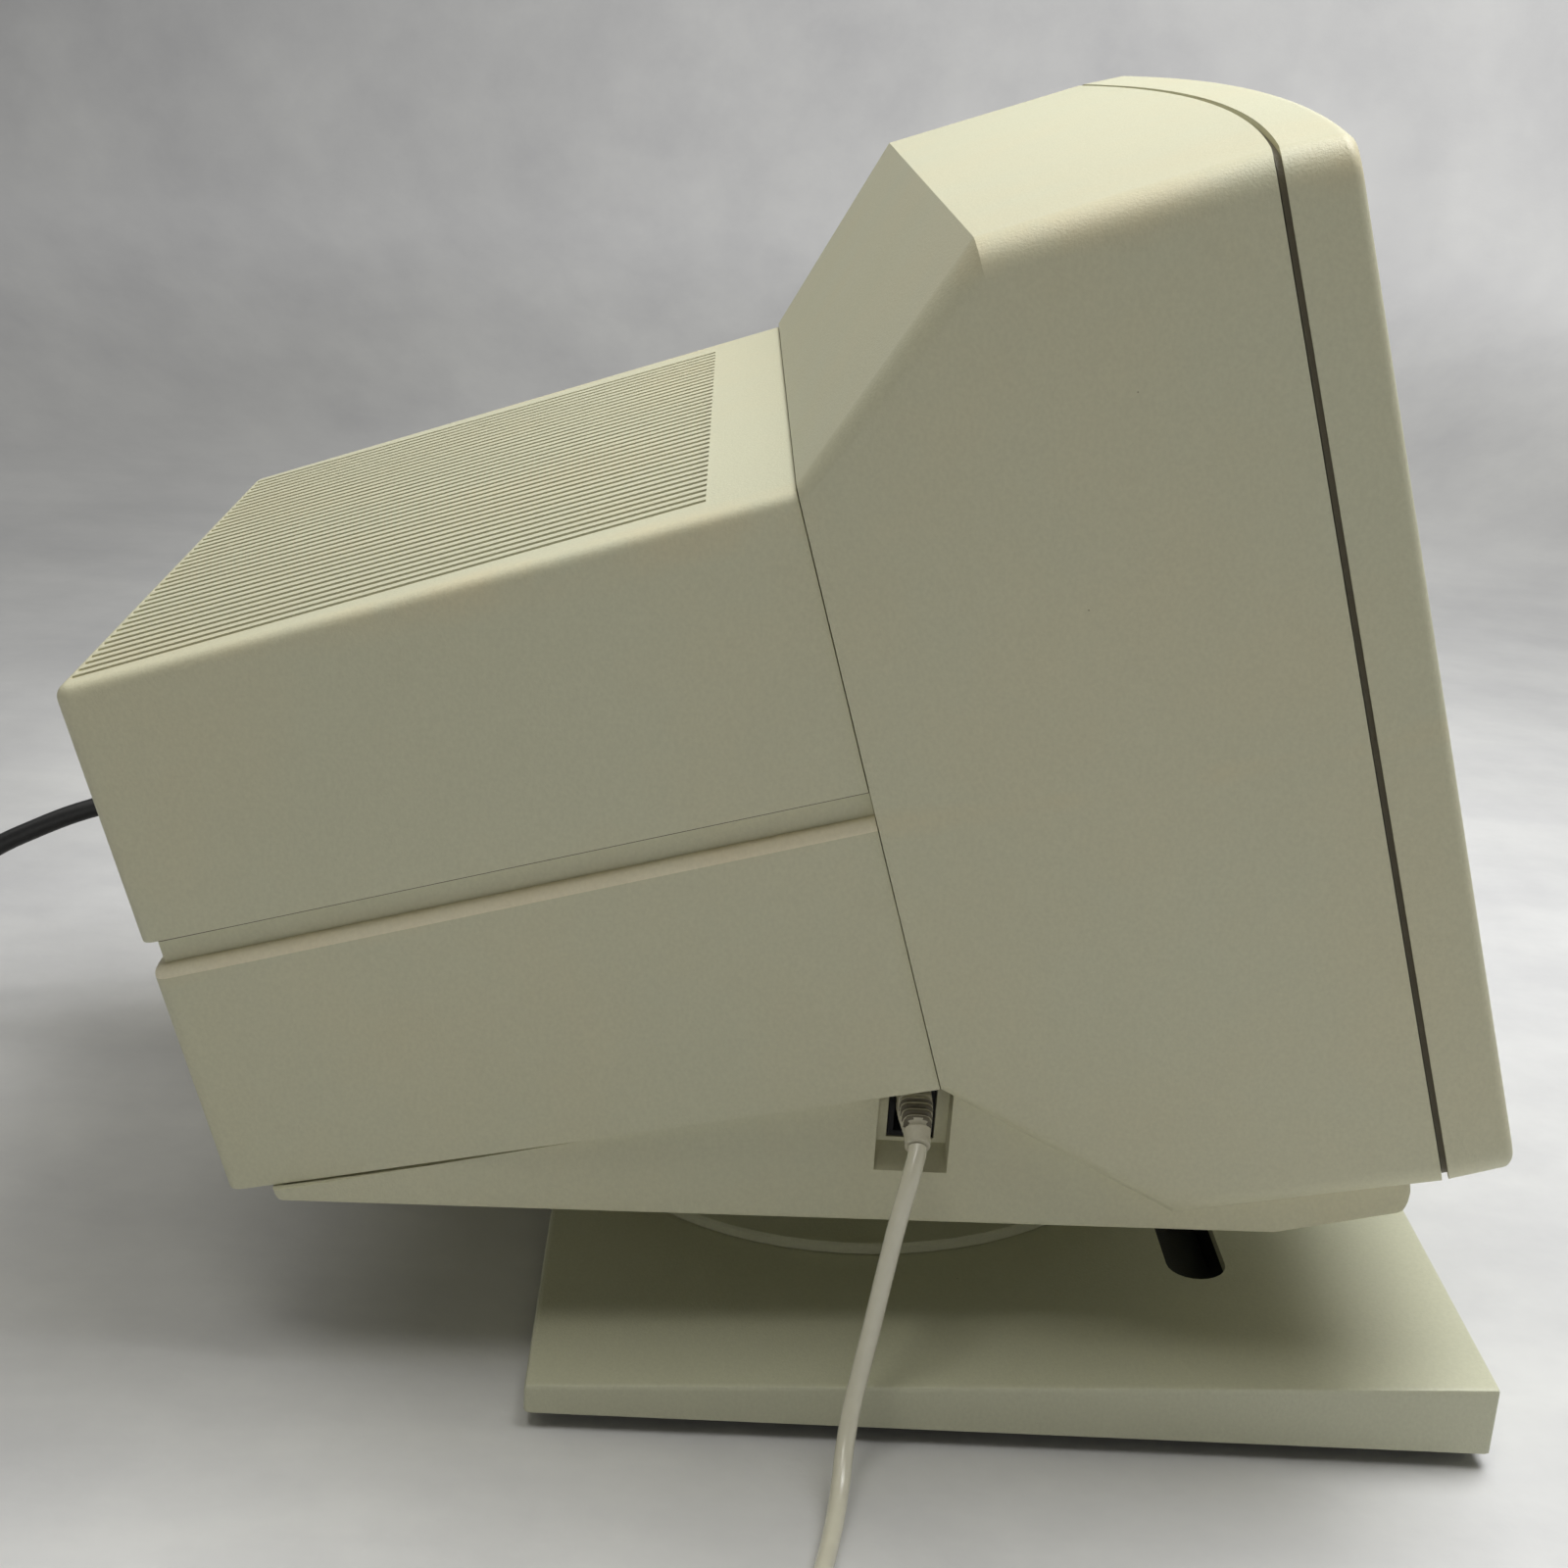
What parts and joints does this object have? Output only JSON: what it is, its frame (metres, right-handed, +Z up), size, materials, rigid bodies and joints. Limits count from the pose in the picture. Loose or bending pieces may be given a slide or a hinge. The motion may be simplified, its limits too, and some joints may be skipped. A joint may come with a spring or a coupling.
{
  "type": "computer terminal",
  "caption": "Desktop display terminal with a tube screen on a tilting and swivelling stand, with a slotted base plate, a keyboard lead and a mains lead",
  "frame": {"origin": "bottom centre of the terminal without its leads, on the surface that it stands on", "axes": "+Z up; the screen faces -Y; +X is to the right of a person who faces the screen"},
  "size_m": [0.5355, 0.6344, 0.3542],
  "materials": {
    "case": "warm light beige moulded plastic with a fine texture",
    "plate": "light beige moulded plastic, slightly greener, fine texture",
    "dark": "black moulded plastic",
    "rubber": "black rubber",
    "glass": "dark grey-green screen glass",
    "steel": "plated steel",
    "copper": "lacquered copper winding",
    "board": "green glass-fibre circuit board",
    "nylon": "natural nylon",
    "lamp": "green clear lens",
    "keyboard_cord": "glossy beige-grey cord jacket",
    "mains_cord": "black flexible jacket"
  },
  "bodies": {
    "stand": {"base_plate": "plate", "foot_front_left": "rubber", "foot_front_right": "rubber", "foot_rear_left": "rubber", "foot_rear_right": "rubber", "swivel_bush": "nylon", "keyboard_cord": "keyboard_cord", "keyboard_coil": "keyboard_cord", "keyboard_tie": "dark", "keyboard_far_plug": "keyboard_cord"},
    "swivel": {"turntable": "plate", "spindle_washer": "steel", "spindle_nut": "steel", "power_cord": "mains_cord", "power_coil": "mains_cord", "power_tie": "dark", "mains_plug": "mains_cord"},
    "display": {"base_pan": "case", "tilt_bracket": "steel", "hinge_shaft": "steel", "friction_washer_left": "nylon", "friction_washer_right": "nylon", "lower_shell": "case", "upper_cover": "case", "front_collar": "case", "bezel": "case", "picture_tube": "glass", "tube_band": "steel", "deflection_yoke": "copper", "neck_board": "board", "tube_socket": "nylon", "anode_cap": "rubber", "anode_lead": "rubber", "flyback_transformer": "dark", "video_board": "board", "heat_sink": "steel", "filter_capacitor": "dark", "logic_board": "board", "processor_chip": "dark", "character_chip": "dark", "beeper": "dark", "host_port": "steel", "printer_port": "steel", "power_inlet": "dark", "power_switch": "dark", "power_lamp": "lamp", "control_board": "board", "keyboard_jack": "dark", "keyboard_plug": "keyboard_cord", "power_plug": "mains_cord", "power_relief": "mains_cord", "pan_screw_front_left": "steel", "pan_screw_front_right": "steel", "pan_screw_rear_left": "steel", "pan_screw_rear_right": "steel", "rear_screw_left": "steel", "rear_screw_right": "steel"},
    "power_push": {"power_button": "case"},
    "brightness": {"brightness_wheel": "dark"},
    "contrast": {"contrast_wheel": "dark"}
  },
  "joints": [
    {"name": "swivel", "type": "hinge", "parent": "stand", "child": "swivel", "pos_m": [0, -0.02732, 0.01786], "axis": [0, 0.0448, 0.999], "range_deg": [-45, 45], "deforming": ["keyboard_cord"]},
    {"name": "tilt", "type": "hinge", "parent": "swivel", "child": "display", "pos_m": [0, -0.02732, 0.08], "axis": [1, 0, 0], "range_deg": [-4, 15], "deforming": ["keyboard_cord", "power_cord"]},
    {"name": "power_press", "type": "slide", "parent": "display", "child": "power_push", "axis": [0, -0.9563, 0.2924], "range_m": [0, 0.0025], "stiffness_N_per_m": 400},
    {"name": "brightness_turn", "type": "hinge", "parent": "display", "child": "brightness", "pos_m": [0.106, -0.18365, 0.10761], "axis": [1, 0, 0], "range_deg": [-135, 135]},
    {"name": "contrast_turn", "type": "hinge", "parent": "display", "child": "contrast", "pos_m": [0.084, -0.1854, 0.10815], "axis": [1, 0, 0], "range_deg": [-135, 135]}
  ]
}
